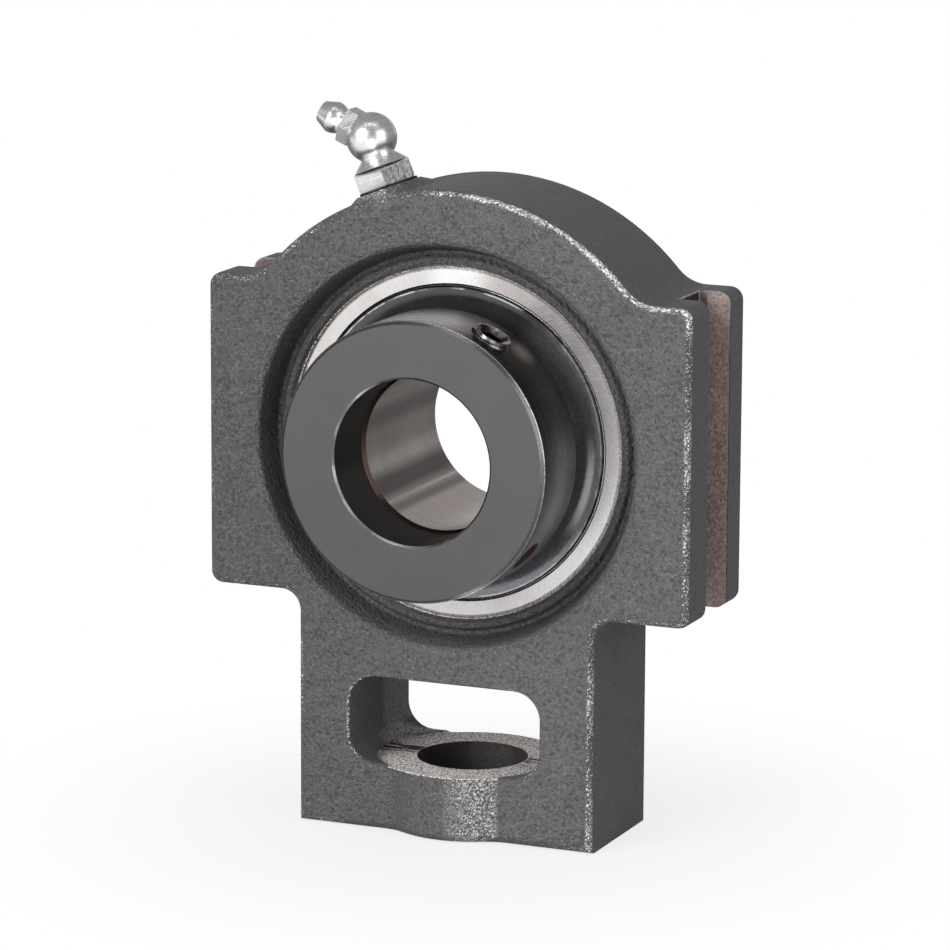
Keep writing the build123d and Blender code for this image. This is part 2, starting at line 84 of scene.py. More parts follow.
# Studio: a pale floor under the foot, a white surround, and soft lamps. The big lamp is in
# front on the left, one fills the right side, and a narrow strip overhead draws the bright
# lines on the top edges. Glossy faces also mirror a bright beam on the floor in front.
def add_node(tree, kind, settings=None, **sockets):
    """Adds one node, sets its plain settings, then its sockets by name or number.

    A socket given as a node's output is linked to it, and anything else becomes its value.
    """
    node = tree.nodes.new(kind)
    for key, value in (settings or {}).items():
        setattr(node, key, value)
    for key, value in sockets.items():
        socket = node.inputs[int(key[1:])] if key[0] == "_" else node.inputs[key.replace("_", " ")]
        if isinstance(value, bpy.types.NodeSocket):
            tree.links.new(value, socket)
        else:
            socket.default_value = value
    return node


def mathematics(tree, operation, first, second=0.0, third=0.0):
    """One Math node; returns its output."""
    return add_node(tree, "ShaderNodeMath", {"operation": operation},
                    _0=first, _1=second, _2=third).outputs[0]


def band(tree, value, start, end, low=0.0, high=1.0):
    """A value that goes smoothly from low to high as another goes from start to end."""
    ramp = add_node(tree, "ShaderNodeMapRange", {"interpolation_type": "SMOOTHSTEP"},
                    Value=value, From_Min=start, From_Max=end, To_Min=low, To_Max=high)
    return ramp.outputs["Result"]


def short_of(tree, value, start, end):
    """A mask that is full until start and gone from end on."""
    return band(tree, value, start, end, 1.0, 0.0)


def near(tree, value, middle, inner, outer, most=1.0):
    """A mask round a middle value: most up to inner away from it, and nothing past outer."""
    away = mathematics(tree, "ABSOLUTE", mathematics(tree, "SUBTRACT", value, middle))
    return band(tree, away, inner, outer, most, 0.0)


def all_of(tree, first, *others):
    """Masks multiplied together, so that the result holds where all of them do."""
    for other in others:
        first = mathematics(tree, "MULTIPLY", first, other)
    return first


def any_of(tree, first, *others):
    """The greatest of several masks."""
    for other in others:
        first = mathematics(tree, "MAXIMUM", first, other)
    return first


def without(tree, mask, other):
    """A mask with another one taken out of it."""
    return mathematics(tree, "MULTIPLY", mask, mathematics(tree, "SUBTRACT", 1.0, other))


def axes_of(tree, vector):
    """The x, y and z of a vector."""
    parts = add_node(tree, "ShaderNodeSeparateXYZ", Vector=vector)
    return parts.outputs["X"], parts.outputs["Y"], parts.outputs["Z"]


def from_point(tree, place, point=(0.0, 0.0, 0.0)):
    """The distance between a place and a point, in metres."""
    gap = add_node(tree, "ShaderNodeVectorMath", {"operation": "DISTANCE"}, _0=place, _1=point)
    return gap.outputs["Value"]


room_light = 0.30
light_low_behind = 0.20
white_paper = (1, 1, 1, 1)

world = bpy.data.worlds.new("studio")
world.use_nodes = True
bpy.context.scene.world = world
tree = world.node_tree
tree.nodes.clear()
x, y, z = axes_of(tree, add_node(tree, "ShaderNodeTexCoord").outputs["Generated"])
low_behind = all_of(tree, band(tree, y, 0.2, 0.7), short_of(tree, z, 0.18, 0.36),
                    band(tree, x, 0.20, 0.36, 1.0, 0.2))
room_level = mathematics(tree, "MULTIPLY_ADD", low_behind, light_low_behind, room_light)
room = add_node(tree, "ShaderNodeBackground", Color=white_paper, Strength=room_level)
backdrop = add_node(tree, "ShaderNodeBackground", Color=white_paper, Strength=1.0)
seen = add_node(tree, "ShaderNodeLightPath").outputs["Is Camera Ray"]
chosen = add_node(tree, "ShaderNodeMixShader", _0=seen, _1=room.outputs[0], _2=backdrop.outputs[0])
add_node(tree, "ShaderNodeOutputWorld", Surface=chosen.outputs[0])

lamps = (
    ("lamp_front", (-0.80, -1.80, 0.75), (1.20, 1.20), 34.0),
    ("lamp_right", (0.95, -0.36, 0.34), (0.80, 0.80), 3.2),
    ("lamp_above", (0.08, -0.27, 0.86), (0.90, 0.06), 0.60),
)
for name, place, size, power in lamps:
    lamp = bpy.data.lights.new(name, "AREA")
    lamp.shape = "RECTANGLE"
    lamp.size, lamp.size_y = size
    lamp.energy = power
    holder = bpy.data.objects.new(name, lamp)
    holder.rotation_mode = "QUATERNION"
    holder.rotation_quaternion = (-Vector(place)).to_track_quat("-Z", "Y")
    holder.location = place
    bpy.context.scene.collection.objects.link(holder)

floor_half = 4.0
floor_drop = 0.0002
floor_colour = (0.86, 0.86, 0.86, 1)
beam_slope = -0.42
beam_level = 2.6

floor_level = cad_box[0][2] - floor_drop
floor_mesh = bpy.data.meshes.new("floor")
floor_corners = [(-1, -1), (1, -1), (1, 1), (-1, 1)]
floor_mesh.from_pydata([(x * floor_half, y * floor_half, floor_level) for x, y in floor_corners],
                       [], [(0, 1, 2, 3)])
floor = bpy.data.objects.new("floor", floor_mesh)
bpy.context.scene.collection.objects.link(floor)

floor_paint = bpy.data.materials.new("pale_floor")
floor_paint.use_nodes = True
tree = floor_paint.node_tree
tree.nodes.clear()
place = add_node(tree, "ShaderNodeTexCoord").outputs["Object"]
x, y, z = axes_of(tree, place)
far = band(tree, from_point(tree, place), 0.045, 0.14, 0.66, 1.0)
rays = add_node(tree, "ShaderNodeLightPath").outputs
sideways = mathematics(tree, "DIVIDE", x, mathematics(tree, "MINIMUM", y, -0.001))
beam = all_of(tree, near(tree, sideways, beam_slope, 0.10, 0.30), short_of(tree, y, -0.030, -0.020))
mirrored = mathematics(tree, "MULTIPLY_ADD", beam, beam_level, band(tree, y, -0.20, 0.05, 1.0, 0.20))
glow_level = any_of(tree, without(tree, mirrored, rays["Is Camera Ray"]), rays["Is Camera Ray"])
paint = add_node(tree, "ShaderNodeBsdfDiffuse", Color=floor_colour)
glow = add_node(tree, "ShaderNodeEmission", Color=white_paper, Strength=glow_level)
straight = any_of(tree, rays["Is Camera Ray"], rays["Is Glossy Ray"])
chosen = add_node(tree, "ShaderNodeMixShader", _0=all_of(tree, far, straight),
                  _1=paint.outputs[0], _2=glow.outputs[0])
add_node(tree, "ShaderNodeOutputMaterial", Surface=chosen.outputs[0])
floor_mesh.materials.append(floor_paint)


# Housing: one grey iron casting, shot-blasted and dipped in dark grey paint, so the sand's
# leathery texture shows through. Its guide grooves, screw hole and spot face are machined bare.
def new_material(name, colour, roughness, metallic=0.0):
    """A material with one Principled shader; returns the material, its tree and the shader."""
    material = bpy.data.materials.new(name)
    material.use_nodes = True
    tree = material.node_tree
    shader = tree.nodes["Principled BSDF"]
    shader.inputs["Base Color"].default_value = (*colour, 1)
    shader.inputs["Roughness"].default_value = roughness
    shader.inputs["Metallic"].default_value = metallic
    return material, tree, shader


def object_place(tree):
    """The surface point in the object's own coordinates, and its x, y and z, in metres."""
    place = add_node(tree, "ShaderNodeTexCoord").outputs["Object"]
    return place, *axes_of(tree, place)


def surface_facing(tree):
    """The way the surface faces, in the object's own axes, and how far that is along the shaft."""
    facing = add_node(tree, "ShaderNodeTexCoord").outputs["Normal"]
    return facing, mathematics(tree, "ABSOLUTE", axes_of(tree, facing)[1])


def noise(tree, place, scale, detail=2.0, roughness=0.5, dimensions="3D"):
    """One noise texture's value between 0 and 1, with its grain in turns per metre."""
    kind = {"noise_dimensions": dimensions}
    return add_node(tree, "ShaderNodeTexNoise", kind, Vector=place, Scale=scale,
                    Detail=detail, Roughness=roughness).outputs["Fac"]


def stretched(tree, *axes):
    """A place for a pattern, where each axis is a value times its own turns per metre."""
    scaled = {axis: mathematics(tree, "MULTIPLY", value, turns)
              for axis, (value, turns) in zip("XYZ", axes)}
    return add_node(tree, "ShaderNodeCombineXYZ", **scaled).outputs[0]


def mixed_colour(tree, factor, first, second):
    """A colour between two, by a factor from 0 to 1."""
    mix = add_node(tree, "ShaderNodeMix", {"data_type": "RGBA"}, _0=factor)
    for socket, value in ((mix.inputs[6], first), (mix.inputs[7], second)):
        if isinstance(value, bpy.types.NodeSocket):
            tree.links.new(value, socket)
        else:
            socket.default_value = (*value, 1)
    return mix.outputs[2]


def bumped(tree, shader, height, depth, strength=1.0):
    """Feeds a height through one Bump node into the shader; depth is in metres."""
    bump = add_node(tree, "ShaderNodeBump", Height=height, Distance=depth, Strength=strength)
    tree.links.new(bump.outputs["Normal"], shader.inputs["Normal"])


def dress(material, *names):
    """Gives CAD nodes a material in place of their plain one."""
    for name in names:
        for slot in nodes[name].material_slots:
            slot.link = "OBJECT"
            slot.material = material


groove_floor_side = 0.0443
groove_middle = 0.00065
groove_half_width = 0.00584
rail_face_side = 0.05085
rail_corner_side = 0.0484
rail_corner_height = 0.0285
outline_highlight_radius = 0.00218
screw_hole_radius = 0.01106
spot_face_radius = 0.01905
spot_face_height = -0.0652
seat_radius = 0.03625
recess_radius = 0.0405
rim_radius = 0.0424
foot_window_side = 0.0212
boss_side = 0.021
rub_beside_fitting = (-0.0135, -0.0125, 0.0478)

dark_paint, light_paint = (0.106, 0.106, 0.110), (0.200, 0.200, 0.203)
worn_iron_dark, worn_iron_bright = (0.42, 0.42, 0.43), (1.0, 1.0, 1.0)
milled_dark, milled_bright = (0.32, 0.220, 0.200), (0.60, 0.450, 0.410)
ground_dark, ground_bright_and_sheen = (0.075, 0.060, 0.056), (1.0, 0.93, 0.90)
groove_floor_shade = (0.036, 0.022, 0.019)
rust_red = (0.20, 0.085, 0.045)

painted_casting, tree, shader = new_material("painted_casting", (0.125, 0.125, 0.129), 0.5)
place, x, y, z = object_place(tree)
side = mathematics(tree, "ABSOLUTE", x)
from_axis = from_point(tree, add_node(tree, "ShaderNodeCombineXYZ", X=x, Y=y).outputs[0])
from_centre = from_point(tree, place)
in_groove = all_of(tree, band(tree, side, groove_floor_side, groove_floor_side + 0.0001),
                   near(tree, y, groove_middle, groove_half_width, groove_half_width + 0.00003),
                   short_of(tree, side, rail_face_side, rail_face_side + 0.0001))
spot_faced = all_of(tree, short_of(tree, from_axis, spot_face_radius, spot_face_radius + 0.0001),
                    near(tree, z, spot_face_height, 0.0001, 0.0002))
in_hole = all_of(tree, short_of(tree, from_axis, screw_hole_radius, screw_hole_radius + 0.00004),
                 band(tree, z, -0.0500, -0.0505))
seat = short_of(tree, from_centre, seat_radius, seat_radius + 0.0001)
machined = any_of(tree, in_groove, spot_faced, in_hole)

facing, facing_front = surface_facing(tree)
facing_x, facing_y, facing_z = axes_of(tree, facing)
on_front = band(tree, facing_front, 0.86, 0.97)

# The sand leaves a relief like leather, with short, thin, winding pits on the faces and a
# fine grain between them. The edges and the sides are smoother, with a colour darkened as
# painted shade; the pits, the hollows, the left end and the recess are darkened as painted shade too.
grain = noise(tree, place, 2300, 3.0, 0.65)
leather = noise(tree, place, 1300, 2.0, 0.55)
winding = near(tree, noise(tree, place, 2900, 1.0), 0.5, 0.015, 0.095)
short = band(tree, noise(tree, place, 2300, 1.0), 0.40, 0.58)
pits = all_of(tree, winding, short, band(tree, on_front, 0.0, 1.0, 0.30, 1.0))
swell = noise(tree, place, 160)

# Paint is knocked off the edges in flecks of bare iron. The flecks also serve as painted
# highlights: more on the right of each edge than on the left, one bright line along the top
# right of the arch, and spots on the screw boss's front.
chips = noise(tree, place, 2700, 3.0, 0.7)
patches = noise(tree, place, 110)
on_boss = all_of(tree, band(tree, z, -0.0640, -0.0649),
                 short_of(tree, side, boss_side, boss_side + 0.002))
on_edge = all_of(tree, band(tree, facing_front, 0.30, 0.50), short_of(tree, facing_front, 0.86, 0.96))
on_edge = without(tree, on_edge, on_boss)
# Painted highlight: one line of bright flecks along the top right of the arch.
arch_highlight_streak = all_of(tree, band(tree, facing_front, 0.40, 0.62), short_of(tree, facing_front, 0.74, 0.90),
                band(tree, facing_z, 0.15, 0.40), band(tree, x, -0.008, 0.006),
                band(tree, z, 0.026, 0.031))
ragged = band(tree, noise(tree, place, 620, 2.0, 0.6), 0.36, 0.58, 0.06, 0.24)
# More flecks on edges facing right, as painted highlights.
wear_and_highlight_level = mathematics(tree, "MULTIPLY_ADD", band(tree, facing_x, -0.1, 0.3), -0.055,
                         band(tree, patches, 0.36, 0.62, 0.62, 0.53))
wear_and_highlight_level = mathematics(tree, "SUBTRACT", wear_and_highlight_level, all_of(tree, arch_highlight_streak, ragged))
wear_and_highlight = all_of(tree, band(tree, mathematics(tree, "SUBTRACT", chips, wear_and_highlight_level), 0.0, 0.04), on_edge)
# Painted highlight: bright flecks on the screw boss's front.
boss_highlight_rub = all_of(tree, band(tree, y, -0.01503, -0.01525), band(tree, x, 0.0005, 0.0055),
                  short_of(tree, x, 0.0114, 0.0122), on_boss)
fitting_rub = band(tree, from_point(tree, place, rub_beside_fitting), 0.0016, 0.0034, 0.8, 0.0)
rub_and_highlight = all_of(tree, any_of(tree, boss_highlight_rub, fitting_rub), band(tree, chips, 0.48, 0.55, 0.0, 0.75))
wear_and_highlight = all_of(tree, any_of(tree, wear_and_highlight, rub_and_highlight), band(tree, from_centre, rim_radius, rim_radius + 0.0016))
wear_and_highlight = without(tree, wear_and_highlight, in_hole)

paint_tone_and_shade = mixed_colour(tree, band(tree, grain, 0.30, 0.70), dark_paint, light_paint)
paint_tone_and_shade = mixed_colour(tree, band(tree, swell, 0.3, 0.7, 0.0, 0.25), paint_tone_and_shade, (0.112, 0.112, 0.116))
# Painted shade: the pits are darkened.
paint_tone_and_shade = mixed_colour(tree, all_of(tree, pits, 0.24), paint_tone_and_shade, (0.036, 0.036, 0.039))
# Painted shade: the leather's hollows on the faces are darkened.
shaded_hollow = all_of(tree, band(tree, leather, 0.34, 0.50, 0.55, 0.0), on_front)
paint_tone_and_shade = mixed_colour(tree, shaded_hollow, paint_tone_and_shade, (0.040, 0.040, 0.043))
# Painted shade: the paint darkens towards the left end.
shaded_left_end = band(tree, x, -0.05, 0.02, 0.24, 0.0)
paint_tone_and_shade = mixed_colour(tree, shaded_left_end, paint_tone_and_shade, (0.030, 0.030, 0.032))
# Painted shade: faces that do not face the front get a darker colour.
shaded_side_tone = mixed_colour(tree, 0.45, paint_tone_and_shade, (0.074, 0.074, 0.080))
paint_tone_and_shade = mixed_colour(tree, on_front, shaded_side_tone, paint_tone_and_shade)
window_wall = all_of(tree, band(tree, mathematics(tree, "ABSOLUTE", facing_x), 0.75, 0.90),
                     short_of(tree, side, foot_window_side, foot_window_side + 0.0004),
                     band(tree, y, 0.0005, 0.0035), band(tree, chips, 0.38, 0.58))
paint_tone_and_shade = mixed_colour(tree, window_wall, paint_tone_and_shade, (0.34, 0.33, 0.32))
# Painted shade: the recess round the bearing is darkened.
shaded_recess = band(tree, from_centre, recess_radius, recess_radius + 0.0008, 0.30, 0.0)
paint_tone_and_shade = mixed_colour(tree, shaded_recess, paint_tone_and_shade, (0.040, 0.040, 0.042))

# The grooves are milled and have browned. Their floors are painted near black as shade, a strip
# beside the floor was never reached by the cutter, and a thin painted highlight follows the
# wall's outline, with a light line along the corner of the floor.
browned = noise(tree, place, 1500, 3.0, 0.6)
milled = mixed_colour(tree, band(tree, browned, 0.3, 0.7), milled_dark, milled_bright)
left_rail = band(tree, x, -0.040, -0.030, 0.75, 0.0)
milled = mixed_colour(tree, left_rail, milled, (0.085, 0.055, 0.048))
as_cast = all_of(tree, in_groove, short_of(tree, side, 0.04600, 0.04625), band(tree, y, 0.0060, 0.0063))
milled = mixed_colour(tree, as_cast, milled, (0.050, 0.048, 0.050))
groove_floor = all_of(tree, in_groove, short_of(tree, side, groove_floor_side + 0.00026,
                                                groove_floor_side + 0.00032))
# Painted shade: the groove floors are coloured near black.
milled = mixed_colour(tree, groove_floor, milled, groove_floor_shade)
past_side = mathematics(tree, "MAXIMUM", mathematics(tree, "SUBTRACT", side, rail_corner_side), 0.0)
past_top = mathematics(tree, "MAXIMUM", mathematics(tree, "SUBTRACT", z, rail_corner_height), 0.0)
from_corner = from_point(tree, add_node(tree, "ShaderNodeCombineXYZ", X=past_side, Y=past_top).outputs[0])
# Painted highlight: a thin light line round the wall's outline, and a light line along the floor's corner.
outline_highlight = all_of(tree, band(tree, from_corner, outline_highlight_radius, outline_highlight_radius + 0.0001), in_groove,
              band(tree, chips, 0.40, 0.52))
corner_line = all_of(tree, as_cast, short_of(tree, side, groove_floor_side + 0.00034,
                                             groove_floor_side + 0.00040))
milled = mixed_colour(tree, any_of(tree, outline_highlight, corner_line), milled, (0.46, 0.45, 0.44))

# The spot face under the window is cut bare and coarse, and its light tone is bare iron and also
# a painted reflection. The cutter tore dark streaks beside the hole and skimmed the corner behind it.
granite = noise(tree, place, 1900, 2.0, 0.7)
# Bare iron, lightened as a painted reflection.
ground_iron_and_sheen = mixed_colour(tree, band(tree, granite, 0.40, 0.50), ground_dark, ground_bright_and_sheen)
streaks = noise(tree, stretched(tree, (x, 120.0), (y, 900.0)), 1.0, 2.0, 0.5, "2D")
torn = all_of(tree, band(tree, side, 0.0098, 0.0120), near(tree, y, 0.0, 0.0015, 0.0050),
              band(tree, streaks, 0.40, 0.52))
ground_iron_and_sheen = mixed_colour(tree, torn, ground_iron_and_sheen, (0.030, 0.027, 0.026))
skimmed = all_of(tree, band(tree, from_axis, spot_face_radius - 0.00025, spot_face_radius + 0.00005),
                 short_of(tree, from_axis, 0.0206, 0.0222), band(tree, x, -0.0105, -0.0125),
                 band(tree, z, -0.0612, -0.0634), band(tree, granite, 0.42, 0.52),
                 band(tree, y, -0.0040, 0.0010))
skimmed = without(tree, skimmed, spot_faced)
rusty = all_of(tree, band(tree, x, -0.0455, -0.0485), band(tree, y, 0.0075, 0.0100),
               band(tree, z, 0.0285, 0.0310), band(tree, chips, 0.42, 0.55))

tone = mixed_colour(tree, in_groove, paint_tone_and_shade, milled)
tone = mixed_colour(tree, any_of(tree, spot_faced, seat), tone, ground_iron_and_sheen)
tone = mixed_colour(tree, skimmed, tone, (0.62, 0.56, 0.535))
tone = mixed_colour(tree, in_hole, tone, (0.045, 0.041, 0.040))
tone = mixed_colour(tree, rusty, tone, rust_red)
bare_iron = mixed_colour(tree, band(tree, grain, 0.42, 0.56), worn_iron_dark, worn_iron_bright)
tone = mixed_colour(tree, wear_and_highlight, tone, bare_iron)
tree.links.new(tone, shader.inputs["Base Color"])
roughness = band(tree, machined, 0.0, 1.0, 0.35, 0.60)
tree.links.new(band(tree, wear_and_highlight, 0.0, 1.0, roughness, 0.30), shader.inputs["Roughness"])
tree.links.new(mathematics(tree, "MULTIPLY", wear_and_highlight, 0.85), shader.inputs["Metallic"])
tree.links.new(band(tree, on_front, 0.0, 1.0, 0.16, 0.5), shader.inputs["Specular IOR Level"])
relief = mathematics(tree, "MULTIPLY_ADD", pits, -0.16, leather)
relief = mathematics(tree, "MULTIPLY", relief, band(tree, machined, 0.0, 1.0, 1.0, 0.30))
relief = mathematics(tree, "MULTIPLY_ADD", swell, 0.8, relief)
bumped(tree, shader, relief, 0.00085)
dress(painted_casting, "housing")


# Insert rings: through-hardened bearing steel. The outer ring's faces are ground across and
# left bright; the inner ring's bore is ground and has tarnished to a warm brown.
def new_group(name, inputs, outputs):
    """A node group with named sockets of given kinds; returns its tree and its inputs."""
    group = bpy.data.node_groups.new(name, "ShaderNodeTree")
    for end, sockets in (("INPUT", inputs), ("OUTPUT", outputs)):
        for socket_name, kind in sockets:
            group.interface.new_socket(socket_name, in_out=end, socket_type="NodeSocket" + kind)
    return group, group.nodes.new("NodeGroupInput").outputs


shaft_group, given = new_group("round_the_shaft", [("Place", "Vector")],
                               [("Radius", "Float"), ("Angle", "Float")])
x, y, z = axes_of(shaft_group, given["Place"])
flat_place = add_node(shaft_group, "ShaderNodeCombineXYZ", X=x, Z=z).outputs[0]
add_node(shaft_group, "NodeGroupOutput", Radius=from_point(shaft_group, flat_place),
         Angle=mathematics(shaft_group, "ARCTAN2", z, x))


def round_the_shaft(tree, place):
    """How far a place is from the shaft's axis, and its angle from +X round towards +Z."""
    placed = add_node(tree, "ShaderNodeGroup", {"node_tree": shaft_group}, Place=place)
    return placed.outputs["Radius"], placed.outputs["Angle"]


clean_steel_light, clean_steel_dark = (0.75, 0.735, 0.728), (0.69, 0.655, 0.645)
scratched_steel = (0.52, 0.49, 0.485)
top_of_ring, right_of_ring, dark_reflection_angle = 1.57, -0.52, 0.96

ring_steel, tree, shader = new_material("ring_steel", (0.80, 0.79, 0.78), 0.24, 0.60)
place, x, y, z = object_place(tree)
radius, angle = round_the_shaft(tree, place)
across = mathematics(tree, "MULTIPLY_ADD", radius, 1900.0, mathematics(tree, "MULTIPLY", angle, 88.0))
along = mathematics(tree, "MULTIPLY_ADD", radius, 260.0, mathematics(tree, "MULTIPLY", angle, -6.3))
hatch_place = add_node(tree, "ShaderNodeCombineXYZ", X=across, Y=along).outputs[0]
hatch = noise(tree, hatch_place, 1.0, 3.0, 0.65)
smudge = noise(tree, place, 160)
ring_tone = mixed_colour(tree, band(tree, smudge, 0.35, 0.7), clean_steel_light, clean_steel_dark)
ring_tone = mixed_colour(tree, band(tree, hatch, 0.42, 0.72, 0.0, 0.45), ring_tone, scratched_steel)
# Painted highlights: the ring is lightened near its top and towards its right.
ring_highlights = any_of(tree, near(tree, angle, top_of_ring, 0.06, 0.26, 0.85),
                        near(tree, angle, right_of_ring, 0.10, 0.85, 0.85))
ring_tone = mixed_colour(tree, ring_highlights, ring_tone, (0.99, 0.98, 0.98))
# Painted reflection: the ring is darkened at its upper right, where it faces the collar.
dark_reflection = near(tree, angle, dark_reflection_angle, 0.26, 0.50, 0.50)
ring_tone = mixed_colour(tree, dark_reflection, ring_tone, (0.34, 0.31, 0.305))
tree.links.new(ring_tone, shader.inputs["Base Color"])
tree.links.new(band(tree, hatch, 0.3, 0.7, 0.20, 0.30), shader.inputs["Roughness"])
bumped(tree, shader, hatch, 0.000012, 0.6)
dress(ring_steel, "outer_ring")

# The bore has painted dark bands of shade along the shaft and one painted highlight line, at
# angles from its lowest point, and is painted lighter towards its bottom; its end faces are browned.
tarnish_light, tarnish_warm = (0.66, 0.615, 0.595), (0.56, 0.505, 0.485)
shade_bands = ((-0.98, 0.05, 0.27, 0.88), (-0.66, 0.01, 0.12, 0.62), (-1.86, 0.03, 0.24, 0.50))
highlight_line_angle = -0.768

bore_steel, tree, shader = new_material("bore_steel", (0.50, 0.45, 0.43), 0.3, 1.0)
place, x, y, z = object_place(tree)
lines = noise(tree, stretched(tree, (y, 11000.0), (x, 40.0), (z, 40.0)), 1.0, 4.0, 0.7)
stain = noise(tree, place, 70)
tarnish_and_shading = mixed_colour(tree, band(tree, stain, 0.35, 0.65), tarnish_warm, tarnish_light)
# Painted reflection: lighter towards the bottom of the bore.
tarnish_and_shading = mixed_colour(tree, band(tree, z, -0.0090, -0.0130), tarnish_and_shading, (0.86, 0.76, 0.73))
tarnish_and_shading = mixed_colour(tree, band(tree, lines, 0.40, 0.68, 0.0, 0.4), tarnish_and_shading, (0.38, 0.335, 0.32))
around = mathematics(tree, "ARCTAN2", x, mathematics(tree, "MULTIPLY", z, -1.0))
# Painted shade: dark bands at set angles round the bore.
for middle, inner, outer, share in shade_bands:
    tarnish_and_shading = mixed_colour(tree, near(tree, around, middle, inner, outer, share), tarnish_and_shading,
                           (0.10, 0.088, 0.084))
# Painted highlight: one bright line at a set angle.
highlight_line = near(tree, around, highlight_line_angle, 0.010, 0.026)
tarnish_and_shading = mixed_colour(tree, all_of(tree, highlight_line, 0.9), tarnish_and_shading, (1.0, 0.98, 0.97))
facing, facing_front = surface_facing(tree)
tarnish_and_shading = mixed_colour(tree, band(tree, facing_front, 0.15, 0.45), tarnish_and_shading, (0.085, 0.055, 0.045))
tree.links.new(tarnish_and_shading, shader.inputs["Base Color"])
tree.links.new(band(tree, highlight_line, 0.0, 1.0, band(tree, lines, 0.3, 0.7, 0.20, 0.34), 0.55),
               shader.inputs["Roughness"])
bumped(tree, shader, lines, 0.000012, 0.6)
dress(bore_steel, "inner_ring")


# Seals: nitrile rubber lips moulded on a steel disc, pressed into the outer ring's steps.
# The disc's bare rim stands up in the gap beside the flinger and shows as a thin bright line.
finish_group, given = new_group(
    "fine_finish",
    [("Place", "Vector"), ("Polish Grain", "Float"), ("Smoothest", "Float"), ("Roughest", "Float"),
     ("Relief Grain", "Float"), ("Relief Detail", "Float"), ("Relief Depth", "Float"),
     ("Relief Strength", "Float")],
    [("Roughness", "Float"), ("Normal", "Vector")])
polish = noise(finish_group, given["Place"], given["Polish Grain"])
relief = noise(finish_group, given["Place"], given["Relief Grain"], given["Relief Detail"])
bump = add_node(finish_group, "ShaderNodeBump", Height=relief, Distance=given["Relief Depth"],
                Strength=given["Relief Strength"])
add_node(finish_group, "NodeGroupOutput", Normal=bump.outputs["Normal"],
         Roughness=band(finish_group, polish, 0.3, 0.7, given["Smoothest"], given["Roughest"]))


def fine_finish(tree, shader, place, polish, relief=None):
    """An uneven polish of grain, smoothest and roughest, over a fine relief if one is given.

    The relief's four values are its grain in turns per metre, its detail, its depth in
    metres and its strength.
    """
    sockets = dict(zip(("Polish_Grain", "Smoothest", "Roughest"), polish))
    sockets.update(zip(("Relief_Grain", "Relief_Detail", "Relief_Depth", "Relief_Strength"), relief or ()))
    placed = add_node(tree, "ShaderNodeGroup", {"node_tree": finish_group}, Place=place, **sockets)
    tree.links.new(placed.outputs["Roughness"], shader.inputs["Roughness"])
    if relief:
        tree.links.new(placed.outputs["Normal"], shader.inputs["Normal"])


seal_rubber, tree, shader = new_material("seal_rubber", (0.018, 0.018, 0.019), 0.6)
place, x, y, z = object_place(tree)
fine_finish(tree, shader, place, (400, 0.5, 0.7), (2500, 2.0, 0.00002, 0.5))
dress(seal_rubber, "front_seal", "rear_seal")


def grid_piece(name, points, body, material, closed=(True, False)):
    """A piece from a grid of points, rows by columns, joined into four-sided faces.

    Each face takes a point, its neighbour along the row, the one diagonally opposite and
    the one in the next row. A closed direction joins its last points to its first.
    """
    rows, columns = points.shape[:2]
    down = np.arange(rows if closed[0] else rows - 1)[:, None]
    along = np.arange(columns if closed[1] else columns - 1)[None, :]
    below, beside = (down + 1) % rows, (along + 1) % columns
    corners = (down * columns + along, below * columns + along,
               below * columns + beside, down * columns + beside)
    faces = np.stack([np.broadcast_to(c, np.broadcast_shapes(*(k.shape for k in corners)))
                      for c in corners], axis=-1).reshape(-1, 4)
    mesh = bpy.data.meshes.new(name)
    mesh.from_pydata(points.reshape(-1, 3).tolist(), [], faces.tolist())
    mesh.shade_smooth()
    mesh.materials.append(material)
    piece = bpy.data.objects.new(name, mesh)
    bpy.context.scene.collection.objects.link(piece)
    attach(piece, body)
    return piece


seal_edge_radius = 0.0312
seal_edge_half_wall = 0.00007
seal_edge_half_height = 0.00082
seal_edge_middle = 0.00820
bare_edge, left_edge_tone = (0.70, 0.70, 0.71), (0.09, 0.09, 0.095)

seal_edge_steel, tree, shader = new_material("seal_edge_steel", bare_edge, 0.3, 1.0)
place, x, y, z = object_place(tree)
fine_finish(tree, shader, place, (900, 0.2, 0.42))
# The rim's colour is darker towards the left.
tree.links.new(mixed_colour(tree, band(tree, x, 0.002, 0.012), left_edge_tone, bare_edge),
               shader.inputs["Base Color"])
round_the_ring = np.linspace(0, 2 * np.pi, 181)[:-1, None]
round_the_edge = np.linspace(0, 2 * np.pi, 9)[None, :-1]
for name, front in (("front_seal_edge", -1), ("rear_seal_edge", 1)):
    reach = seal_edge_radius + seal_edge_half_wall * np.cos(round_the_edge)
    rise = front * (seal_edge_middle + seal_edge_half_height * np.sin(round_the_edge)) + 0 * round_the_ring
    edge = np.stack([reach * np.cos(round_the_ring), rise, reach * np.sin(round_the_ring)], axis=-1)
    grid_piece(name, edge[::front], "outer_ring", seal_edge_steel, (True, True))


# Flingers: pressed steel dishes, phosphated to a slate grey and pushed on to the inner ring.
# Their upper left and their flange are darkened as painted shade, and a painted highlight line
# runs round the rim, with one painted glint on the rolled flange at the right.
flange_radius = 0.0286
flinger_rim_radius = 0.03045
glint_angle = -0.24
slate_dark, slate_light = (0.26, 0.263, 0.290), (0.42, 0.423, 0.452)

flinger_steel, tree, shader = new_material("flinger_steel", (0.40, 0.405, 0.43), 0.24, 0.72)
place, x, y, z = object_place(tree)
radius, angle = round_the_shaft(tree, place)
mottle = noise(tree, place, 2100, 3.0, 0.6)
smear = noise(tree, place, 260)
slate = mixed_colour(tree, band(tree, mottle, 0.3, 0.7), slate_dark, slate_light)
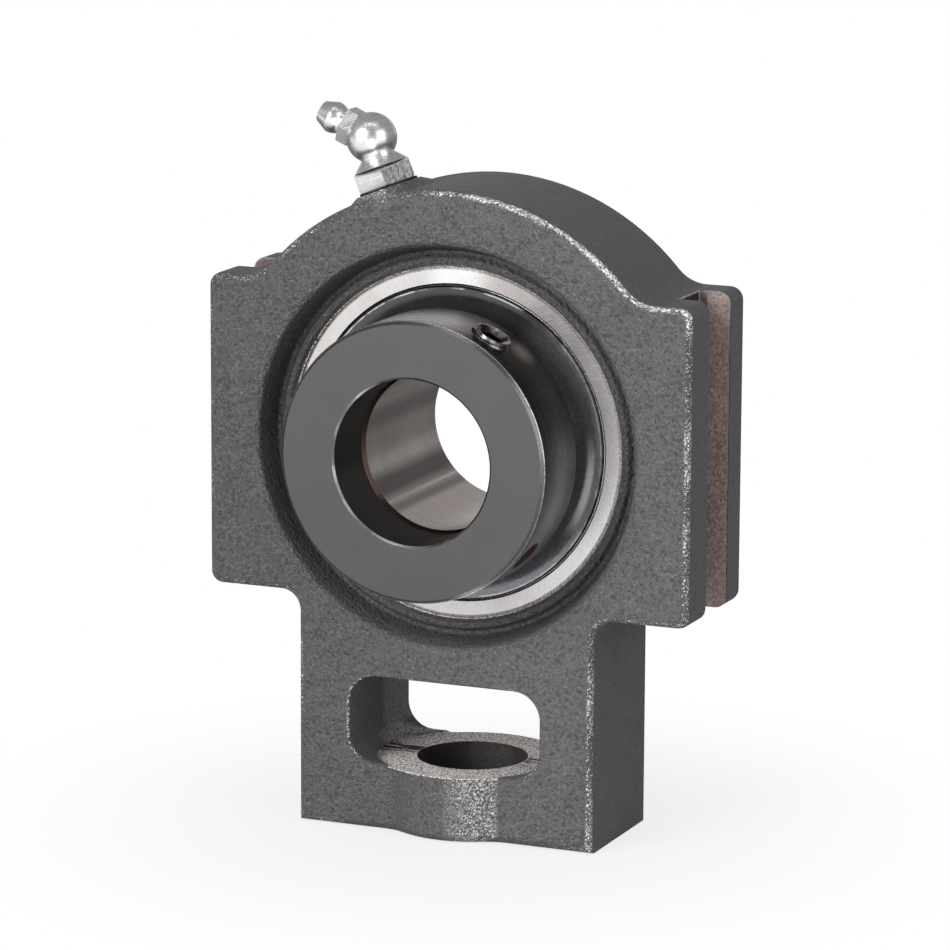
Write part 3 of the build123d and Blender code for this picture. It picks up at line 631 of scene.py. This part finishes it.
# Painted shade: the upper left is darkened.
upper_left_shade = band(tree, mathematics(tree, "MULTIPLY_ADD", x, -1.2, z), -0.004, 0.010, 0.0, 0.92)
slate = mixed_colour(tree, upper_left_shade, slate, (0.085, 0.085, 0.092))
# Painted highlight: a bright line round the rim.
flinger_rim_highlight = all_of(tree, band(tree, radius, flinger_rim_radius, flinger_rim_radius + 0.00015),
                  band(tree, smear, 0.40, 0.60, 0.0, 0.7))
slate = mixed_colour(tree, flinger_rim_highlight, slate, (0.95, 0.95, 0.96))
# Painted shade: the flange is darkened.
flange_shade = band(tree, radius, flange_radius, flange_radius + 0.0006, 0.0, 0.25)
slate = mixed_colour(tree, flange_shade, slate, (0.020, 0.020, 0.024))
# Painted glint: a white spot on the flange at the right.
flinger_glint = all_of(tree, near(tree, angle, glint_angle, 0.04, 0.50),
               near(tree, radius, flange_radius, 0.0003, 0.0014))
slate = mixed_colour(tree, flinger_glint, slate, (1.0, 1.0, 1.0))
tree.links.new(slate, shader.inputs["Base Color"])
tree.links.new(band(tree, flinger_glint, 0.0, 1.0, 0.72, 0.10), shader.inputs["Metallic"])
tree.links.new(band(tree, smear, 0.3, 0.7, 0.20, 0.30), shader.inputs["Roughness"])
bumped(tree, shader, mottle, 0.00002, 0.5)
dress(flinger_steel, "front_flinger", "rear_flinger")


# Cage, rivets and balls: two pressed steel ribbons riveted together round nine polished
# balls of bearing steel. The small check ball of the grease fitting is polished the same way.
cage_steel, tree, shader = new_material("cage_steel", (0.45, 0.45, 0.46), 0.38, 1.0)
place, x, y, z = object_place(tree)
fine_finish(tree, shader, place, (300, 0.3, 0.45), (900, 3.0, 0.00002, 0.4))
dress(cage_steel, "cage_front", "cage_rear", "cage_rivets")

ball_steel, tree, shader = new_material("ball_steel", (0.78, 0.78, 0.79), 0.08, 1.0)
place, x, y, z = object_place(tree)
fine_finish(tree, shader, place, (500, 0.06, 0.12))
dress(ball_steel, "nipple_check_ball", *[name for name in nodes if name.startswith("ball_")])


# Locking collar: turned steel with a black oxide finish. Its face is even and satin, with
# a few faint scratches; the sides carry fine turning lines, and the blind pin hole has rusted.
# Its upper side and its bore are darkened as painted shade, and painted highlights lie beside
# the set screw, on the chamfer, along the rim and round the bore's mouth.
collar_bore_radius = 0.0164
collar_mouth_radius = 0.0171
collar_rim_radius = 0.02742
drift_turn = math.radians(130.0)
drift_middle = 0.0241
drift_radius = 0.00344
beside_set_screw = (0.0179, -0.0188, 0.0210)
oxide_dark, oxide_light = (0.078, 0.075, 0.074), (0.100, 0.095, 0.093)
face_dark, face_light = (0.096, 0.096, 0.099), (0.113, 0.112, 0.114)
rust_dark, rust_light = (0.030, 0.014, 0.010), (0.085, 0.036, 0.023)

black_oxide, tree, shader = new_material("black_oxide", (0.17, 0.17, 0.173), 0.42, 1.0)
place, x, y, z = object_place(tree)
radius, angle = round_the_shaft(tree, place)
turned = noise(tree, stretched(tree, (radius, 7000.0), (y, 7000.0)), 1.0, 3.0, 0.6, "2D")
specks = noise(tree, place, 2600, 2.0, 0.6)
cloud = noise(tree, place, 120, 3.0, 0.55)
facing, facing_front = surface_facing(tree)
on_face = band(tree, facing_front, 0.90, 0.98)
oxide = mixed_colour(tree, band(tree, cloud, 0.35, 0.65), oxide_dark, oxide_light)
oxide = mixed_colour(tree, band(tree, specks, 0.62, 0.8, 0.0, 0.5), oxide, (0.17, 0.17, 0.17))
# Painted shade: the upper side is darkened.
shaded_upper_side = band(tree, angle, 1.34, 1.74, 0.0, 0.50)
oxide = mixed_colour(tree, shaded_upper_side, oxide, (0.014, 0.014, 0.014))
# Painted highlight: a light pinkish spot beside the set screw.
screw_side_highlight = band(tree, from_point(tree, place, beside_set_screw), 0.0004, 0.0044, 0.9, 0.0)
oxide = mixed_colour(tree, screw_side_highlight, oxide, (0.50, 0.435, 0.42))
oxide = mixed_colour(tree, band(tree, specks, 0.60, 0.72, 0.0, 0.35), oxide, (0.30, 0.28, 0.27))
oxide = mixed_colour(tree, on_face, oxide, mixed_colour(tree, cloud, face_dark, face_light))
on_chamfer = all_of(tree, band(tree, facing_front, 0.35, 0.60), short_of(tree, facing_front, 0.80, 0.97))
# The chamfer is lightened as rubbed oxide and as a painted highlight.
rub_and_highlight = all_of(tree, on_chamfer, band(tree, specks, 0.25, 0.6, 0.35, 1.0))
oxide = mixed_colour(tree, rub_and_highlight, oxide, (0.20, 0.197, 0.197))
# Painted highlight: a light line along the rim.
collar_rim_highlight = all_of(tree, on_chamfer, band(tree, specks, 0.35, 0.55),
                     band(tree, radius, collar_rim_radius, collar_rim_radius + 0.00008))
oxide = mixed_colour(tree, collar_rim_highlight, oxide, (0.55, 0.55, 0.55))
# Painted highlight: light flecks round the bore's mouth.
mouth_highlight = all_of(tree, short_of(tree, radius, collar_mouth_radius, collar_mouth_radius + 0.0002),
                      band(tree, cloud, 0.42, 0.55), on_chamfer)
oxide = mixed_colour(tree, mouth_highlight, oxide, (0.40, 0.40, 0.40))
# Painted shade: the bore is darkened.
shaded_bore = all_of(tree, short_of(tree, radius, collar_bore_radius, collar_bore_radius + 0.00015),
                 short_of(tree, facing_front, 0.1, 0.3))
oxide = mixed_colour(tree, shaded_bore, oxide, (0.060, 0.056, 0.054))

drift_way = (math.sin(drift_turn), 0.0, math.cos(drift_turn))
from_middle = add_node(tree, "ShaderNodeVectorMath", {"operation": "ADD"}, _0=place,
                       _1=(0.0, drift_middle, 0.0)).outputs[0]
off_drift = add_node(tree, "ShaderNodeVectorMath", {"operation": "CROSS_PRODUCT"}, _0=from_middle,
                     _1=drift_way).outputs[0]
along_drift = add_node(tree, "ShaderNodeVectorMath", {"operation": "DOT_PRODUCT"}, _0=place,
                       _1=drift_way).outputs["Value"]
in_drift = all_of(tree, short_of(tree, from_point(tree, off_drift), drift_radius, drift_radius + 0.00004),
                  band(tree, along_drift, 0.020, 0.021))
oxide = mixed_colour(tree, in_drift, oxide, mixed_colour(tree, specks, rust_dark, rust_light))
tree.links.new(oxide, shader.inputs["Base Color"])
shader.inputs["Specular Tint"].default_value = (0.64, 0.63, 0.63, 1)
tree.links.new(band(tree, in_drift, 0.0, 1.0, 1.0, 0.1), shader.inputs["Metallic"])
satin = mathematics(tree, "MULTIPLY_ADD", on_face, 0.14, band(tree, turned, 0.3, 0.7, 0.24, 0.32))
tree.links.new(mathematics(tree, "MULTIPLY_ADD", in_drift, 0.4, satin), shader.inputs["Roughness"])
bumped(tree, shader, turned, 0.000008, 0.5)
dress(black_oxide, "locking_collar")


# Set screw: rolled, black oxide steel with a broached hexagon socket. The oil on it has
# browned in the thread. One numpy piece with a real thread stands for the CAD's plain screw.
screw_turn = math.radians(29.0)
screw_middle = np.array((0.0, -0.023, 0.0))
hole_bottom, hole_top = 0.0205, 0.02705
hole_wall, hole_thread_depth, hole_pitch = 0.00407, 0.00042, 0.00125
screw_tip, screw_top = 0.0166, 0.0285
screw_crest, screw_root, screw_pitch = 0.0040, 0.00362, 0.00106
socket_apothem, socket_depth = 0.0020, 0.0044
screw_clean, screw_oiled = (0.27, 0.268, 0.27), (0.10, 0.085, 0.076)

screw_steel, tree, shader = new_material("screw_steel", (0.15, 0.15, 0.155), 0.26, 1.0)
place, x, y, z = object_place(tree)
oily = band(tree, noise(tree, place, 420), 0.40, 0.60)
tree.links.new(mixed_colour(tree, oily, screw_clean, screw_oiled), shader.inputs["Base Color"])
fine_finish(tree, shader, place, (1500, 0.2, 0.34), (2200, 2.0, 0.00001, 0.4))
dress(screw_steel, "collar_set_screw")


def thread_wave(rise, angles, pitch, fade_length):
    """A thread's profile between 0 at its root and 1 at its crest.

    It is a rounded triangle wave of the height in pitches less the angle in turns, made as
    the arcsine of 0.93 times a cosine. It fades to nothing over a length at both ends.
    """
    steepness = 0.93
    phase = 2 * np.pi * (rise / pitch - angles / (2 * np.pi))
    wave = 0.5 + np.arcsin(steepness * np.cos(phase)) / (2 * math.asin(steepness))
    return wave * np.clip(np.minimum(rise - rise.min(), rise.max() - rise) / fade_length, 0, 1)


def threaded_wall(start, way, across, heights, wall, depth, pitch):
    """The grid of an inner thread's flanks round an axis: its radius is wall - depth * wave."""
    angles = np.linspace(0, 2 * np.pi, 97)[:-1, None]
    rise = heights[None, :]
    radius = wall - depth * thread_wave(rise, angles, pitch, 0.3 * pitch)
    return (start + rise[..., None] * way
            + (radius * np.cos(angles))[..., None] * across
            + (radius * np.sin(angles))[..., None] * np.cross(way, across))


def socket_screw(tip, top, crest, root, pitch, apothem, depth):
    """The grid of a headless screw round the z axis, from its point up and down the socket.

    Each row has a height and a radius. On the thread the radius is root + (crest - root) *
    wave. In the socket it is apothem / cos(angle within its sixth of a turn), which draws a
    hexagon; a cone leads down to it from the narrow top.
    """
    angles = np.linspace(0, 2 * np.pi, 145)[:-1]
    sixth = np.pi / 3
    hexagon = apothem / np.cos((angles + sixth / 2) % sixth - sixth / 2)
    rise = np.linspace(tip + 0.0010, top - 0.0004, 121)[:, None]
    thread = root + (crest - root) * thread_wave(rise, angles, pitch, 0.5 * pitch)
    socket = np.linspace(top - 0.0010, top - depth, 12)[:, None]
    point = np.array([(tip + 0.0004, 0.0002), (tip + 0.0002, 0.5 * root),
                      (tip, 0.66 * root), (tip, 0.72 * root)])
    mouth = np.array([(top, 0.90 * crest), (top, 0.83 * crest)])
    bottom = np.array([(top - depth - 0.0004, 0.4 * apothem), (top - depth - 0.0006, 0.02 * apothem)])
    even = np.ones_like(angles)
    radii = np.concatenate([point[:, 1:] * even, thread, mouth[:, 1:] * even,
                            [1.08 * hexagon], hexagon + 0 * socket, bottom[:, 1:] * even])
    heights = np.concatenate([point[:, :1], rise, mouth[:, :1], [[top - 0.0009]], socket, bottom[:, :1]])
    return np.stack([radii * np.cos(angles), radii * np.sin(angles), heights * even], axis=-1)


screw_way = np.array((math.sin(screw_turn), 0.0, math.cos(screw_turn)))
along_shaft = np.array((0.0, 1.0, 0.0))
hole_grid = threaded_wall(screw_middle, screw_way, along_shaft, np.linspace(hole_bottom, hole_top, 66),
                          hole_wall, hole_thread_depth, hole_pitch)
grid_piece("collar_hole_thread", hole_grid[::-1], "locking_collar", screw_steel)

screw_grid = socket_screw(screw_tip, screw_top, screw_crest, screw_root, screw_pitch,
                          socket_apothem, socket_depth)
screw_axes = np.stack([along_shaft, np.cross(screw_way, along_shaft), screw_way])
screw_piece = grid_piece("collar_screw_thread", (screw_grid @ screw_axes + screw_middle)[:, ::-1],
                         "set_screw", screw_steel, (False, True))
screw_piece.data.set_sharp_from_angle(angle=math.radians(32))
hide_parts("collar_set_screw")


# Grease fitting: free-cutting steel, turned and bright zinc plated, with its check ball
# and spring inside the angled head. One of its hexagon's facets is left sawn.
nipple_turn = math.radians(-21.1)
nipple_way = np.array((math.sin(nipple_turn), 0.0, math.cos(nipple_turn)))
hexagon_bottom, crown_bottom, hexagon_top = 0.0517, 0.0550, 0.0560
sawn_facet_way = (0.79, -0.54, 0.30)
zinc_dark, zinc_light = (0.80, 0.81, 0.82), (0.93, 0.94, 0.95)
sawn_dark, sawn_light = (0.16, 0.165, 0.17), (0.46, 0.47, 0.48)

zinc_plate, tree, shader = new_material("zinc_plate", zinc_dark, 0.26, 1.0)
place, x, y, z = object_place(tree)
along = add_node(tree, "ShaderNodeVectorMath", {"operation": "DOT_PRODUCT"}, _0=place,
                 _1=nipple_way).outputs["Value"]
lathe = noise(tree, stretched(tree, (along, 6000.0), (y, 260.0), (x, 260.0)), 1.0, 3.0, 0.6)
blotch = noise(tree, place, 500, 3.0, 0.6)
zinc = mixed_colour(tree, band(tree, blotch, 0.35, 0.65), zinc_dark, zinc_light)
zinc = mixed_colour(tree, band(tree, lathe, 0.54, 0.66, 0.0, 0.55), zinc, (0.40, 0.41, 0.42))
facing, facing_front = surface_facing(tree)
toward_right = add_node(tree, "ShaderNodeVectorMath", {"operation": "DOT_PRODUCT"}, _0=facing,
                        _1=sawn_facet_way).outputs["Value"]
toward_tip = add_node(tree, "ShaderNodeVectorMath", {"operation": "DOT_PRODUCT"}, _0=facing,
                      _1=nipple_way).outputs["Value"]
under_top = short_of(tree, along, hexagon_top, hexagon_top + 0.0001)
sawn_facet = all_of(tree, band(tree, along, hexagon_bottom, hexagon_bottom + 0.0001), under_top,
                    band(tree, toward_right, 0.90, 0.96))
on_crown = all_of(tree, band(tree, toward_tip, 0.76, 0.82),
                  band(tree, along, crown_bottom, crown_bottom + 0.0001),
                  short_of(tree, along, hexagon_top + 0.0001, hexagon_top + 0.0002))
sawn = noise(tree, stretched(tree, (x, 2600.0), (y, 2600.0), (z, 900.0)), 1.0, 2.0, 0.6)
zinc = mixed_colour(tree, sawn_facet, zinc,
                    mixed_colour(tree, band(tree, sawn, 0.35, 0.65), sawn_dark, sawn_light))
tree.links.new(zinc, shader.inputs["Base Color"])
tree.links.new(mathematics(tree, "MULTIPLY_ADD", sawn_facet, 0.2, band(tree, lathe, 0.3, 0.7, 0.22, 0.36)),
               shader.inputs["Roughness"])
tree.links.new(band(tree, on_crown, 0.0, 1.0, 1.0, 0.15), shader.inputs["Metallic"])
bumped(tree, shader, lathe, 0.00002, 0.5)
dress(zinc_plate, "nipple_body", "nipple_head", "nipple_spring")


# Painted shadow: a dark ring filling the gap between the fitting's hexagon and the pad on the
# housing, where shade falls. One numpy ring round the fitting's axis, touching both.
bead_inner, bead_outer, bead_widest = 0.0033, 0.0056, 0.0060
bead_bottom, bead_top = 0.05140, 0.05196
bead_unevenness = 0.00006
shadow_ring_colour = (0.022, 0.022, 0.024)

shadow_ring_material, tree, shader = new_material("painted_shadow_ring", shadow_ring_colour, 0.5)
place, x, y, z = object_place(tree)
fine_finish(tree, shader, place, (900, 0.4, 0.6), (1600, 2.0, 0.00005, 0.6))
front_way = np.array((0.0, -1.0, 0.0))
bead_section = np.array((
    (bead_inner, bead_bottom), (bead_outer, bead_bottom),
    (bead_widest - 0.0001, bead_bottom + 0.00010), (bead_widest, (bead_bottom + bead_top) / 2),
    (bead_widest - 0.0001, bead_top - 0.00010),
    (bead_outer, bead_top), (bead_inner, bead_top),
))
bead_angles = np.linspace(0, 2 * np.pi, 97)[:-1, None]
bead_reach = bead_section[:, 0] + bead_unevenness * np.sin(7 * bead_angles)
bead_rise = bead_section[:, 1] + 0 * bead_angles
bead = ((bead_reach * np.cos(bead_angles))[..., None] * front_way
        + (bead_reach * np.sin(bead_angles))[..., None] * np.cross(nipple_way, front_way)
        + bead_rise[..., None] * nipple_way)
grid_piece("nipple_shadow_ring", bead, "housing", shadow_ring_material, (True, True))
